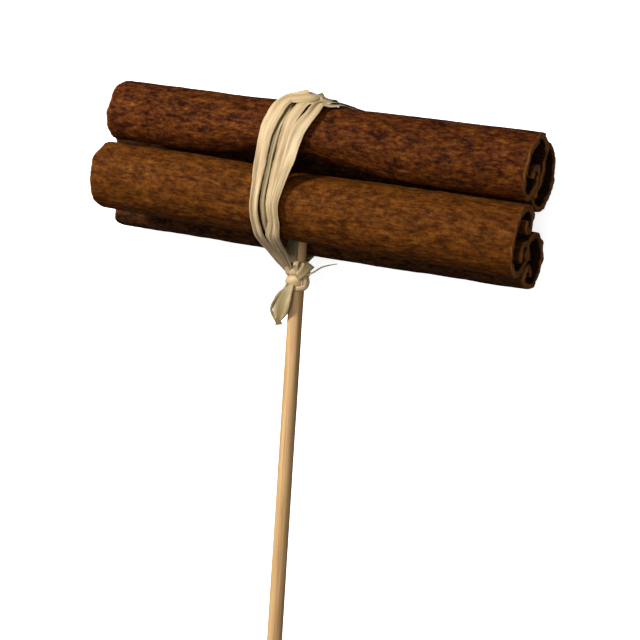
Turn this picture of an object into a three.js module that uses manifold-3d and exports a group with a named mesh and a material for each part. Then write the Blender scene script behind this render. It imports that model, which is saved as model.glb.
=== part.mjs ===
// A bundle of four cinnamon sticks tied to a wooden pick with raffia, lying on its back.
// X runs along the sticks, Y up the page (the pick points to -Y), Z up from the floor. Millimetres.
import * as THREE from 'three';
import { mergeVertices } from 'three/addons/utils/BufferGeometryUtils.js';
import Module from 'manifold-3d';

const wasm = await Module();
wasm.setup();

// ---- driving sizes ----
const PIECE_GAP = 0.3;        // air left between pieces that touch
const TURN_STEP = 15;         // degrees of roll between two points of a bark section
const FRONT_STATIONS = [-1, -0.62, -0.34, -0.07, 0.2, 0.48, 1];  // where along a stick its section is set
const BACK_STATIONS = [-1, -0.86, -0.5, 0, 0.5, 0.86, 1];
const EDGE_WALL = 0.6;        // wall at a bark's free edge, as a share of the full wall
const EDGE_TAPER = 1.5;       // how far from the free edge the wall thins
const BACK_ARCH = 0.95;       // how far a back stick bows up between its two feet
const FOOT_START = 0.86;      // share of the half length where a foot begins
const FOOT_DEPTH = 0.2;       // how much of the round is worn flat at a foot
const WAIST_X = 3.4;          // where along the front sticks their waist is, under the raffia
const WAIST_REACH = 22;       // how far the waist runs either way
const PICK_RADIUS = 1.4;
const PICK_TOP = 2.5;          // how far up the page the pick's hidden end reaches
const PICK_TIP = -147;        // how far down the page its tip lies, on the floor
const PICK_X = 2.17;          // where the pick crosses y = 0
const PICK_LEAN = -0.104;     // x gained for each mm up the page
const RAFFIA = 0.35;          // thickness of one strip
const RAFFIA_GAP = 0.27;      // from the bark to the strip

// The front sticks lie on the pick and the pick lies on the back sticks.
// halfWidth is measured up the page at the left and right ends, and halfHeight up from the floor.
// y is the middle line's place and lean is how much it climbs along the stick. waist is how far the side
// that faces the other front stick draws back under the raffia, up the page.
const QUILLS = {
  back_top: {
    roll: 'double', wall: 1.1, first: -33, last: 212, faces: 'up', waist: 0,
    firstCurl: { from: 2.4, to: 2, turn: 150 }, lastCurl: { from: 2.5, to: 2, turn: 140 },
    y: 11.3, lean: 0, left: -40.7, right: 43.8,
    halfWidth: [6.43, 6.3], halfHeight: 5.75, colour: '#5c2f15',
  },
  back_bottom: {
    roll: 'double', wall: 1.05, first: -22, last: 206, faces: 'up', waist: 0,
    firstCurl: { from: 1.65, to: 1.3, turn: 300 }, lastCurl: { from: 2.4, to: 1.6, turn: 170 },
    y: -3.8, lean: 0.008, left: -38.5, right: 44.6,
    halfWidth: [5.1, 5.08], halfHeight: 5.3, colour: '#593117',
  },
  front_top: {
    roll: 'single', wall: 1.25, first: -142, tuck: 240, faces: 'down', waist: 2,
    lastCurl: { from: 1.95, to: 1.5, turn: 270 },
    y: 10.9, lean: -0.002, left: -33.6, right: 46.4,
    halfWidth: [5.45, 5.77], halfHeight: 5.5, colour: '#5e3115',
  },
  front_bottom: {
    roll: 'double', wall: 1.2, first: -30, last: 233, faces: 'down', waist: -0.5,
    firstCurl: { from: 1.6, to: 1.1, turn: 290 }, lastCurl: { from: 2.4, to: 1.4, turn: 320 },
    y: -1.4, lean: -0.006, left: -34.7, right: 46.5,
    halfWidth: [6.2, 6.24], halfHeight: 6, colour: '#63381a',
  },
};

// Where each turn of raffia runs: x of its middle and its width, at stops round the bundle.
// A stop is a ninth of the way round, from the top of the front sticks down the front and back up behind.
// The last turn leaves the bundle between the two shares in knotted, where its straps go to the knot.
const TURNS = [
  {
    x: [0.6, -0.1, -0.4, 0, 0.1, 0.3, 0.4, -0.4, 0.2],
    width: [3.4, 3.2, 2.6, 2, 1.7, 2.6, 2.4, 2.6, 3],
  },
  {
    x: [3.2, 1.7, 1.2, 0.8, -0.2, 0.7, 2, 3.2, 3.6],
    width: [2.6, 1.8, 1.3, 1.2, 1.5, 2.4, 2.2, 2.2, 2.4],
  },
  {
    x: [5.6, 4.2, 3.8, 3.4, 3.2, 2.4, 4.2, 5.6, 6.4],
    width: [3.8, 4.2, 3.6, 2.6, 2.2, 2.4, 2.6, 2.8, 3.2],
    knotted: [0.36, 0.55],
  },
];
const TURN_STATIONS = 42;

// The knot sits on the pick just below the bundle.
const KNOT_Y = -13.7;
const KNOT_STRAND = 0.75;     // radius of a strand pulled tight in the knot
const KNOT_SPREAD = 1.15;     // from the knot's middle to each of its two wraps
const KNOT_TILT = 0.42;       // how far the wraps lean over, in radians

const rad = THREE.MathUtils.degToRad;
const smooth = THREE.MathUtils.smoothstep;
const vec2 = (y, z) => new THREE.Vector2(y, z);
const vec3 = (x, y, z) => new THREE.Vector3(x, y, z);

// ---- solids ----

// A closed body skinned over rings of points, each ring a list of the same count.
// cap lists the triangles that close an end, turning the way the ring does; without it they fan out.
function loft(rings, { closed = false, cap = null } = {}) {
  const count = rings[0].length;
  const positions = rings.flat().flatMap((p) => [p.x, p.y, p.z]);
  const faces = [];
  for (let i = 0; i < (closed ? rings.length : rings.length - 1); i += 1) {
    const a = i * count;
    const b = ((i + 1) % rings.length) * count;
    for (let j = 0; j < count; j += 1) {
      const k = (j + 1) % count;
      faces.push([a + j, b + j, b + k], [a + j, b + k, a + k]);
    }
  }
  if (!closed) {
    const end = (rings.length - 1) * count;
    const fan = cap ?? Array.from({ length: count - 2 }, (_, j) => [0, j + 1, j + 2]);
    for (const [a, b, c] of fan) {
      faces.push([a, b, c], [end + a, end + c, end + b]);
    }
  }
  const points = rings.flat();
  const six = ([a, b, c]) => points[a].dot(points[b].clone().cross(points[c]));
  const volume = faces.reduce((sum, face) => sum + six(face), 0);
  const outward = volume > 0 ? faces : faces.map(([a, b, c]) => [a, c, b]);
  const geometry = new THREE.BufferGeometry();
  geometry.setAttribute('position', new THREE.Float32BufferAttribute(positions, 3));
  geometry.setIndex(outward.flat());
  return geometry;
}

function toManifold(geometry) {
  const merged = mergeVertices(geometry, 1e-5);
  return new wasm.Manifold(new wasm.Mesh({
    numProp: 3,
    vertProperties: new Float32Array(merged.attributes.position.array),
    triVerts: new Uint32Array(merged.index.array),
  }));
}

function fromManifold(solid) {
  const mesh = solid.getMesh();
  const geometry = new THREE.BufferGeometry();
  geometry.setAttribute('position', new THREE.BufferAttribute(new Float32Array(mesh.vertProperties), 3));
  geometry.setIndex(new THREE.BufferAttribute(new Uint32Array(mesh.triVerts), 1));
  return geometry;
}

function node(name, geometry, colour, roughness) {
  const shape = geometry.index ? geometry.toNonIndexed() : geometry;
  shape.computeVertexNormals();
  const material = new THREE.MeshStandardMaterial({ color: colour, roughness, metalness: 0 });
  const mesh = new THREE.Mesh(shape, material);
  mesh.name = name;
  return mesh;
}

// ---- the rolled bark ----

// A curl that goes on from a point with a heading, its radius shrinking as it turns.
function curl(start, heading, { from, to, turn }, sense) {
  const steps = Math.floor(turn / TURN_STEP) + 1;
  const angle = rad(turn) / steps;
  const points = [];
  let at = start.clone();
  let aim = heading;
  for (let i = 0; i < steps; i += 1) {
    const radius = from + (to - from) * (i + 0.5) / steps;
    aim += sense * angle / 2;
    at = at.clone().add(vec2(Math.cos(aim), Math.sin(aim)).multiplyScalar(radius * angle));
    aim += sense * angle / 2;
    points.push(at);
  }
  return points;
}

// The middle line of a sheet of bark that rolls in from both edges, or in under itself from one.
function rollLine(q) {
  const ry = q.halfWidth[1] - q.wall / 2;
  const rz = q.halfHeight - q.wall / 2;
  const single = q.roll === 'single';
  const sweep = single ? 360 : q.last - q.first;
  const steps = Math.round(sweep / TURN_STEP);
  const points = [];
  for (let i = 0; i <= steps; i += 1) {
    const turned = sweep * i / steps;
    const a = rad(q.first + turned);
    const sink = single ? (q.wall + 0.45) * smooth(turned, q.tuck, sweep) : 0;
    points.push(vec2((ry - sink) * Math.cos(a), (rz - sink) * Math.sin(a)));
  }
  const aim = (p, r) => Math.atan2(r.y - p.y, r.x - p.x);
  const half = rad(sweep / steps) / 2;
  const tail = curl(points.at(-1), aim(points.at(-2), points.at(-1)) + half, q.lastCurl, 1);
  const head = q.firstCurl ? curl(points[0], aim(points[1], points[0]) - half, q.firstCurl, -1) : [];
  return [...head.reverse(), ...points, ...tail];
}

// The bark's outline round that line, scaled so that it fills -1..1 both ways.
function barkOutline(q) {
  const line = rollLine(q);
  const along = [0];
  for (let i = 1; i < line.length; i += 1) {
    along.push(along[i - 1] + line[i].distanceTo(line[i - 1]));
  }
  const outer = [];
  const inner = [];
  line.forEach((p, i) => {
    const before = line[Math.max(i - 1, 0)];
    const after = line[Math.min(i + 1, line.length - 1)];
    const run = after.clone().sub(before).normalize();
    const edge = Math.min(along[i], along.at(-1) - along[i]);
    const half = q.wall / 2 * Math.min(1, EDGE_WALL + (1 - EDGE_WALL) * edge / EDGE_TAPER);
    const side = vec2(run.y, -run.x).multiplyScalar(half);
    outer.push(p.clone().add(side));
    inner.push(p.clone().sub(side));
  });
  const outline = [...outer, ...inner.reverse()];
  const box = new THREE.Box2().setFromPoints(outline);
  const centre = box.getCenter(vec2(0, 0));
  const half = box.getSize(vec2(0, 0)).divideScalar(2);
  const turn = q.faces === 'up' ? -1 : 1;
  return outline.map((p) => p.clone().sub(centre).divide(half).multiplyScalar(turn));
}

// How high the middle of a stick is at a place along it: a back stick stands on two feet.
function quillHeight(q, x) {
  const middle = (q.left + q.right) / 2;
  const share = (x - middle) / ((q.right - q.left) / 2) / FOOT_START;
  return q.z + (q.faces === 'up' ? BACK_ARCH * Math.max(0, 1 - share * share) : 0);
}

function quillRing(q, x) {
  const share = (x - q.left) / (q.right - q.left);
  const width = THREE.MathUtils.lerp(q.halfWidth[0], q.halfWidth[1], share);
  const nearTie = 1 - smooth(Math.abs(x - WAIST_X), 0, WAIST_REACH);
  return q.outline.map((p) => {
    const z = quillHeight(q, x) + p.y * q.halfHeight;
    const dent = q.waist * nearTie * smooth(-p.x * Math.sign(q.waist), 0, 1);
    return vec3(x, q.y + q.lean * x + p.x * width + dent, Math.max(z, 0));
  });
}

function quillSolid(q) {
  const middle = (q.left + q.right) / 2;
  const half = (q.right - q.left) / 2;
  const stations = q.faces === 'up' ? BACK_STATIONS : FRONT_STATIONS;
  const rings = stations.map((share) => quillRing(q, middle + share * half));
  const clockwise = THREE.ShapeUtils.isClockWise(q.outline);
  const cap = THREE.ShapeUtils.triangulateShape([...q.outline], []).map((face) => {
    const same = THREE.ShapeUtils.isClockWise(face.map((i) => q.outline[i])) === clockwise;
    return same ? face : face.reverse();
  });
  return loft(rings, { cap });
}

// ---- how they stack ----

for (const q of Object.values(QUILLS)) {
  q.outline = barkOutline(q);
}
const { back_top: backTop, back_bottom: backBottom } = QUILLS;
const { front_top: frontTop, front_bottom: frontBottom } = QUILLS;
backTop.z = backTop.halfHeight - FOOT_DEPTH;
backBottom.z = backBottom.halfHeight - FOOT_DEPTH;
// the pick leans on the lower back stick and its tip touches the floor
const crest = backBottom.z + BACK_ARCH + backBottom.halfHeight;
const pickSlope = (crest + PIECE_GAP) / (backBottom.y - PICK_TIP);
const pickSeat = PICK_RADIUS + PIECE_GAP;
const pickHeight = (y) => crest + pickSlope * (y - backBottom.y) + pickSeat;
for (const q of [frontTop, frontBottom]) {
  q.z = pickHeight(q.y) + pickSeat + q.halfHeight;
}

// ---- the pick ----

function pickPoint(y) {
  return vec3(PICK_X + PICK_LEAN * y, y, pickHeight(y));
}

const pickRun = vec3(PICK_LEAN, 1, pickSlope).normalize();
const pickSide = vec3(0, 0, 1).cross(pickRun).normalize();
const pickUp = pickRun.clone().cross(pickSide).normalize();

function pickSolid() {
  const bevel = 0.3;
  const half = pickPoint(PICK_TOP).distanceTo(pickPoint(PICK_TIP)) / 2;
  const profile = [
    vec2(0, -half), vec2(PICK_RADIUS - bevel, -half), vec2(PICK_RADIUS, -half + bevel),
    vec2(PICK_RADIUS, half - bevel), vec2(PICK_RADIUS - bevel, half), vec2(0, half),
  ];
  const geometry = new THREE.LatheGeometry(profile, 16);
  geometry.deleteAttribute('normal');
  geometry.deleteAttribute('uv');
  const across = pickRun.clone().cross(pickUp);
  geometry.applyMatrix4(new THREE.Matrix4().makeBasis(across, pickRun, pickUp));
  const middle = pickPoint((PICK_TOP + PICK_TIP) / 2);
  geometry.translate(middle.x, middle.y, middle.z);
  return mergeVertices(geometry, 1e-4);
}

// ---- the raffia ----

// The convex line that a strip pulled tight round these points takes.
function tightLine(points) {
  const sorted = [...points].sort((p, r) => p.x - r.x || p.y - r.y);
  const turnOf = (o, a, b) => (a.x - o.x) * (b.y - o.y) - (a.y - o.y) * (b.x - o.x);
  const half = (list) => {
    const hull = [];
    for (const p of list) {
      while (hull.length > 1 && turnOf(hull.at(-2), hull.at(-1), p) <= 0) hull.pop();
      hull.push(p);
    }
    return hull.slice(0, -1);
  };
  return [...half(sorted), ...half(sorted.reverse())];
}

// Points evenly spaced round the four sticks, from the top of the front ones, down the front first.
function roundBundle(x, clear, count) {
  const around = [];
  for (const q of Object.values(QUILLS)) {
    for (const p of quillRing(q, x)) {
      for (let i = 0; i < 12; i += 1) {
        const a = i * Math.PI / 6;
        around.push(vec2(p.y + clear * Math.cos(a), p.z + clear * Math.sin(a)));
      }
    }
  }
  const hull = tightLine(around);
  const top = hull.reduce((best, p, i) => (p.x + p.y > hull[best].x + hull[best].y ? i : best), 0);
  const loop = [...hull.slice(top), ...hull.slice(0, top + 1)];
  const curve = new THREE.CurvePath();
  loop.slice(1).forEach((p, i) => curve.add(new THREE.LineCurve(loop[i], p)));
  return Array.from({ length: count }, (_, i) => curve.getPointAt(i / count));
}

// A value read off a ring of stops, eased from one to the next.
function ringValue(stops, share) {
  const at = share * stops.length;
  const i = Math.floor(at) % stops.length;
  const t = at - Math.floor(at);
  return THREE.MathUtils.lerp(stops[i], stops[(i + 1) % stops.length], t * t * (3 - 2 * t));
}

// A flat strip with rounded edges along stations { at, out, width, thick }.
const STRIP = [[-0.5, 0], [-0.38, -0.5], [0.38, -0.5], [0.5, 0], [0.38, 0.5], [-0.38, 0.5]];

function strip(stations, closed = false) {
  const count = stations.length;
  const rings = stations.map((s, i) => {
    const before = closed ? stations[(i + count - 1) % count] : stations[Math.max(i - 1, 0)];
    const after = closed ? stations[(i + 1) % count] : stations[Math.min(i + 1, count - 1)];
    const run = after.at.clone().sub(before.at).normalize();
    const across = run.clone().cross(s.out).normalize();
    const out = across.clone().cross(run).normalize();
    return STRIP.map(([u, v]) => s.at.clone()
      .addScaledVector(across, u * s.width).addScaledVector(out, v * s.thick));
  });
  return toManifold(loft(rings, { closed }));
}

function turnStrip({ x, width, knotted }, layer) {
  const clear = RAFFIA_GAP + RAFFIA / 2 + layer;
  const loop = roundBundle(x[0], clear, TURN_STATIONS);
  const stations = loop.map((p, i) => {
    const before = loop[(i + TURN_STATIONS - 1) % TURN_STATIONS];
    const after = loop[(i + 1) % TURN_STATIONS];
    const run = after.clone().sub(before).normalize();
    const share = i / TURN_STATIONS;
    return {
      at: vec3(ringValue(x, share), p.x, p.y),
      out: vec3(0, run.y, -run.x),
      width: ringValue(width, share),
      thick: RAFFIA,
    };
  });
  if (!knotted) return strip(stations, true);
  const [leave, join] = knotted.map((share) => Math.round(share * TURN_STATIONS));
  return strip([...stations.slice(join), ...stations.slice(0, leave)]);
}

// A strip through hand-set places; out turns the flat side.
function freeStrip(places, { width, thick = RAFFIA, out, steps }) {
  const curve = new THREE.CatmullRomCurve3(places);
  const outs = new THREE.CatmullRomCurve3(out);
  const stations = Array.from({ length: steps + 1 }, (_, i) => ({
    at: curve.getPoint(i / steps),
    out: outs.getPoint(i / steps).normalize(),
    width: THREE.MathUtils.lerp(width[0], width[1], i / steps),
    thick,
  }));
  return strip(stations);
}

// A place by the pick: how far right of it, up the page from the knot's middle, and off its front.
function byPick(right, up, front) {
  return pickPoint(KNOT_Y).addScaledVector(pickRun, up)
    .addScaledVector(pickSide, -right).addScaledVector(pickUp, front);
}

// One wrap of a strand round the pick, leaning over by the knot's tilt.
function knotWrap(up, tilt, squash) {
  const radius = PICK_RADIUS + RAFFIA_GAP + KNOT_STRAND;
  const steps = 18;
  const rings = Array.from({ length: steps }, (_, i) => {
    const a = i / steps * Math.PI * 2;
    const outward = pickSide.clone().multiplyScalar(-Math.cos(a)).addScaledVector(pickUp, Math.sin(a));
    const right = radius * Math.cos(a);
    const middle = byPick(right, up - Math.tan(tilt) * right, radius * Math.sin(a));
    return Array.from({ length: 8 }, (__, j) => {
      const b = j / 8 * Math.PI * 2;
      return middle.clone().addScaledVector(outward, KNOT_STRAND * Math.cos(b))
        .addScaledVector(pickRun, KNOT_STRAND * squash * Math.sin(b));
    });
  });
  return toManifold(loft(rings, { closed: true }));
}

function raffiaSolid() {
  const front = vec3(0, 0, 1);
  const down = vec3(0, -1, 0);
  const knotFront = PICK_RADIUS + RAFFIA_GAP + KNOT_STRAND;
  const solids = TURNS.map((turn, i) => turnStrip(turn, i * 0.02));
  solids.push(knotWrap(KNOT_SPREAD, KNOT_TILT, 1.5));
  solids.push(knotWrap(-KNOT_SPREAD, -KNOT_TILT * 0.4, 1.5));
  // the front strap, from the lower edge of the front stick down to the knot
  const low = frontBottom.y - frontBottom.halfWidth[1];
  const lift = RAFFIA_GAP + RAFFIA / 2;
  solids.push(freeStrip(
    [vec3(3.4, low - lift + 0.35, frontBottom.z + 1.5), vec3(3.3, low - 0.9, frontBottom.z - 2.5),
      byPick(0.2, 3.2, knotFront + 1.2), byPick(0, 0.8, knotFront + 0.1)],
    { width: [2.4, 1.6], out: [down, down, vec3(0, -0.6, 0.8), front], steps: 9 },
  ));
  // the back strap, from behind the lower back stick up to the knot
  const backLow = backBottom.y - backBottom.halfWidth[1];
  solids.push(freeStrip(
    [vec3(1.6, backLow - lift + 0.3, backBottom.z), vec3(2.2, backLow - 1.6, backBottom.z + 2),
      byPick(-1.2, 1.6, -knotFront - 0.2), byPick(-0.2, 0.2, -knotFront - 0.2)],
    { width: [2.4, 1.6], out: [down, down, vec3(0, -0.7, -0.7), vec3(0, -0.2, -1)], steps: 9 },
  ));
  // the flattened loop that hangs from the knot
  const loopFront = knotFront + 0.3;
  solids.push(freeStrip(
    [byPick(0.6, -1, loopFront), byPick(1.1, -3.2, loopFront + 0.5), byPick(0.1, -6.3, loopFront - 0.4),
      byPick(-2.2, -8.2, loopFront - 0.9), byPick(-3.4, -6.2, loopFront - 0.9),
      byPick(-2.3, -2.6, loopFront), byPick(-0.6, -0.4, loopFront)],
    { width: [0.9, 0.9], thick: 0.7, out: Array(7).fill(front), steps: 20 },
  ));
  // the short cut ends and one stray fibre
  solids.push(freeStrip(
    [byPick(0.4, 0.2, knotFront), byPick(2.6, 1.2, knotFront + 0.2), byPick(3.9, 3.1, knotFront + 0.4)],
    { width: [1.3, 0.9], out: [front, front, front], steps: 5 },
  ));
  solids.push(freeStrip(
    [byPick(-2, -7.7, loopFront - 0.9), byPick(-2.9, -8.9, loopFront - 1),
      byPick(-3.4, -10.4, loopFront - 1)],
    { width: [1.2, 0.8], out: [front, front, front], steps: 4 },
  ));
  solids.push(freeStrip(
    [byPick(0.5, 0, knotFront), byPick(5.4, 1.2, knotFront), byPick(8.6, 2, knotFront + 0.4)],
    { width: [0.5, 0.4], thick: 0.35, out: [front, front, front], steps: 4 },
  ));
  return fromManifold(solids.reduce((all, solid) => all.add(solid)));
}

// ---- the bundle ----

const bundle = new THREE.Group();
for (const [name, q] of Object.entries(QUILLS)) {
  bundle.add(node(`quill_${name}`, quillSolid(q), q.colour, 0.85));
}
bundle.add(node('pick', pickSolid(), '#d2ac7a', 0.7));
bundle.add(node('raffia_tie', raffiaSolid(), '#aa8d61', 0.75));

// the origin is the middle of the footprint, on the floor
const box = new THREE.Box3().setFromObject(bundle);
const middle = box.getCenter(vec3(0, 0, 0));
bundle.position.set(-middle.x, -middle.y, -box.min.z);
bundle.updateMatrixWorld(true);

export default bundle;
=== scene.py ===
import math

import bpy
from mathutils import Matrix, Vector


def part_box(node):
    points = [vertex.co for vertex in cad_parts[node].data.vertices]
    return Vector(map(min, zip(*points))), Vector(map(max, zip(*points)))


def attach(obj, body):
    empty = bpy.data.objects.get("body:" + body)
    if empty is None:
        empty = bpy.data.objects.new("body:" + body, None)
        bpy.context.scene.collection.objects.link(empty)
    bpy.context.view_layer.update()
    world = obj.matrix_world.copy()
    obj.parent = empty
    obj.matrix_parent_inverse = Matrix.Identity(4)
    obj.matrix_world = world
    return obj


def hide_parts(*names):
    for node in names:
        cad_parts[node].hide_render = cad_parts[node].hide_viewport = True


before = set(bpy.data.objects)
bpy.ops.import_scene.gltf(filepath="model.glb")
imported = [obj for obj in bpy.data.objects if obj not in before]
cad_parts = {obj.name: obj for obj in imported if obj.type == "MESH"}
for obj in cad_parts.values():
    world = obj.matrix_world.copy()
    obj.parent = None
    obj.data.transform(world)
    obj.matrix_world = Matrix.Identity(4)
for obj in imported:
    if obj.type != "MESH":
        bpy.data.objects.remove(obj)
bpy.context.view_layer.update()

# Lengths in this script are millimetres until a mesh is made; MM turns them into metres.
MM = 0.001
FLOOR_COLOUR = (0.93, 0.93, 0.93)
FLOOR_BOUNCE = (0.1, 0.1, 0.1)     # how much light the floor throws back on the bundle
FLOOR_LIFT = 0.85                  # keeps the shadow on the floor pale
FLOOR_REACH = 6.0                  # metres from the middle to each side
FLOOR_DROP = 0.0001                # metres that the floor lies below the bundle
WORLD_LIGHT = 0.15

# ---------------------------------------------------------------- places taken from the frame


def box_mm(node):
    low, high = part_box(node)
    return Vector(low) / MM, Vector(high) / MM


# The anchor is the spot on the floor under the line between the two front sticks, half way along them.
TOP_LOW, TOP_HIGH = box_mm("quill_front_top")
BOTTOM_HIGH = box_mm("quill_front_bottom")[1]
ANCHOR = Vector(((TOP_LOW.x + TOP_HIGH.x) / 2, (TOP_LOW.y + BOTTOM_HIGH.y) / 2, 0))


def place(x, y, z):
    """A point given from the anchor: right along the sticks, up the page, up from the floor."""
    return ANCHOR + Vector((x, y, z))


# ---------------------------------------------------------------- node trees


class Tree:
    """A node tree with short calls that add nodes and join them."""

    def __init__(self, name, kind, inputs, outputs):
        self.tree = bpy.data.node_groups.new(name, kind)
        for side, sockets in (("INPUT", inputs), ("OUTPUT", outputs)):
            for label, socket in sockets.items():
                self.tree.interface.new_socket(label, in_out=side, socket_type="NodeSocket" + socket)
        self.input = self.tree.nodes.new("NodeGroupInput").outputs
        self.output = self.tree.nodes.new("NodeGroupOutput").inputs

    def put(self, socket, value):
        if isinstance(value, bpy.types.NodeSocket):
            self.tree.links.new(value, socket)
        elif value is not None:
            socket.default_value = value

    def add(self, kind, sockets=None, **settings):
        node = self.tree.nodes.new(kind)
        for label, value in settings.items():
            setattr(node, label, value)
        for label, value in (sockets or {}).items():
            self.put(node.inputs[label], value)
        return node

    def math(self, operation, *values, clamp=False):
        node = self.add("ShaderNodeMath", operation=operation, use_clamp=clamp)
        for i, value in enumerate(values):
            self.put(node.inputs[i], value)
        return node.outputs[0]

    def vector(self, operation, *values):
        node = self.add("ShaderNodeVectorMath", operation=operation)
        for i, value in enumerate(values):
            self.put(node.inputs[i], value)
        return node.outputs["Value" if operation in ("DOT_PRODUCT", "LENGTH") else "Vector"]

    def scaled(self, vector, by):
        return self.add("ShaderNodeVectorMath", {0: vector, "Scale": by}, operation="SCALE").outputs[0]

    def join(self, x=0.0, y=0.0, z=0.0):
        return self.add("ShaderNodeCombineXYZ", {"X": x, "Y": y, "Z": z}).outputs[0]

    def split(self, vector):
        return self.add("ShaderNodeSeparateXYZ", {0: vector}).outputs

    def ramp(self, value, low, high, to_low=0.0, to_high=1.0):
        node = self.add("ShaderNodeMapRange", {0: value, 1: low, 2: high, 3: to_low, 4: to_high})
        node.interpolation_type = "SMOOTHSTEP"
        return node.outputs[0]

    def noise(self, vector, detail=2.0, rough=0.5):
        sockets = {"Vector": vector, "Scale": 1.0, "Detail": detail, "Roughness": rough}
        return self.add("ShaderNodeTexNoise", sockets).outputs[0]

    def swing(self, vector, by, detail=2.0):
        """Noise about zero, from minus by to by at most."""
        return self.math("MULTIPLY", self.math("SUBTRACT", self.noise(vector, detail), 0.5), by)

    def group(self, tree, **sockets):
        node = self.add(self.tree.bl_idname.replace("Tree", "Group"))
        node.node_tree = tree.tree
        for label, value in sockets.items():
            self.put(node.inputs[label.replace("_", " ")], value)
        return node.outputs


FLOAT, INT, VECTOR, GEOMETRY, MATERIAL = "Float", "Int", "Vector", "Geometry", "Material"


def slab_tree():
    """A flat block of cells, and where each of its points is along, across and through it, from 0 to 1."""
    t = Tree("slab", "GeometryNodeTree", {"Along": INT, "Across": INT, "Through": INT},
             {"Mesh": GEOMETRY, "Along": FLOAT, "Across": FLOAT, "Through": FLOAT})
    cube = t.add("GeometryNodeMeshCube", {
        "Size": (1, 1, 1), "Vertices X": t.input["Along"], "Vertices Y": t.input["Across"],
        "Vertices Z": t.input["Through"],
    })
    place01 = t.vector("ADD", t.add("GeometryNodeInputPosition").outputs[0], (0.5, 0.5, 0.5))
    t.put(t.output["Mesh"], cube.outputs["Mesh"])
    for label, part in zip(("Along", "Across", "Through"), t.split(place01)):
        t.put(t.output[label], part)
    return t


def guide_tree():
    """What a guide line says at a share of its length: place, heading, outward side, width, thickness."""
    t = Tree("guide", "GeometryNodeTree", {"Guide": GEOMETRY, "Along": FLOAT},
             {"Place": VECTOR, "Heading": VECTOR, "Out": VECTOR, "Wide": FLOAT, "Thick": FLOAT})
    curve = t.add("GeometryNodeMeshToCurve", {"Mesh": t.input["Guide"]}).outputs[0]
    for label, kind in (("Out", "FLOAT_VECTOR"), ("Wide", "FLOAT"), ("Thick", "FLOAT")):
        stored = t.add("GeometryNodeInputNamedAttribute", {"Name": label.lower()}, data_type=kind).outputs[0]
        sample = t.add("GeometryNodeSampleCurve", mode="FACTOR", data_type=kind)
        t.put(sample.inputs["Curves"], curve)
        t.put(sample.inputs["Factor"], t.input["Along"])
        t.put(sample.inputs["Value"], stored)
        t.put(t.output[label], sample.outputs["Value"])
    t.put(t.output["Place"], sample.outputs["Position"])
    t.put(t.output["Heading"], sample.outputs["Tangent"])
    return t


SLAB = slab_tree()
GUIDE = guide_tree()


def finish_tree(t, mesh, position, sheet, mask):
    """Keeps the flat coordinates on the mesh, moves its points into place and gives it its material."""
    for label, value in (("sheet", sheet), ("mask", mask)):
        store = t.add("GeometryNodeStoreNamedAttribute", data_type="FLOAT_VECTOR", domain="POINT")
        t.put(store.inputs["Geometry"], mesh)
        t.put(store.inputs["Name"], label)
        t.put(store.inputs["Value"], value)
        mesh = store.outputs[0]
    moved = t.add("GeometryNodeSetPosition", {"Geometry": mesh, "Position": position}).outputs[0]
    smooth = t.add("GeometryNodeSetShadeSmooth", {"Geometry": moved}).outputs[0]
    real = t.add("GeometryNodeRealizeInstances", {"Geometry": smooth}).outputs[0]
    done = t.add("GeometryNodeSetMaterial", {"Geometry": real, "Material": t.input["Material"]}).outputs[0]
    t.put(t.output["Geometry"], done)


WAIST_X = -3.0        # where along a front stick its waist is, from its middle
WAIST_REACH = 22.0
WAIST_SIDE = -6.0     # from the stick's middle to where it faces its neighbour, seen from the upper stick
END_REACH = 3.0       # length of bark by a cut end that the uneven cut moves
END_SWING = 1.3
OFF_FLOOR = 0.02      # the least height of the bark
STRIP_OFF_FLOOR = 0.03
GROOVE_DEPTH = -1.7   # in heights of a fibre
SWAY = 0.7            # how far a stick's side wanders over its length
AT_RIM = 0.49999      # past this share from the middle, a point is on the rim of its block


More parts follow.
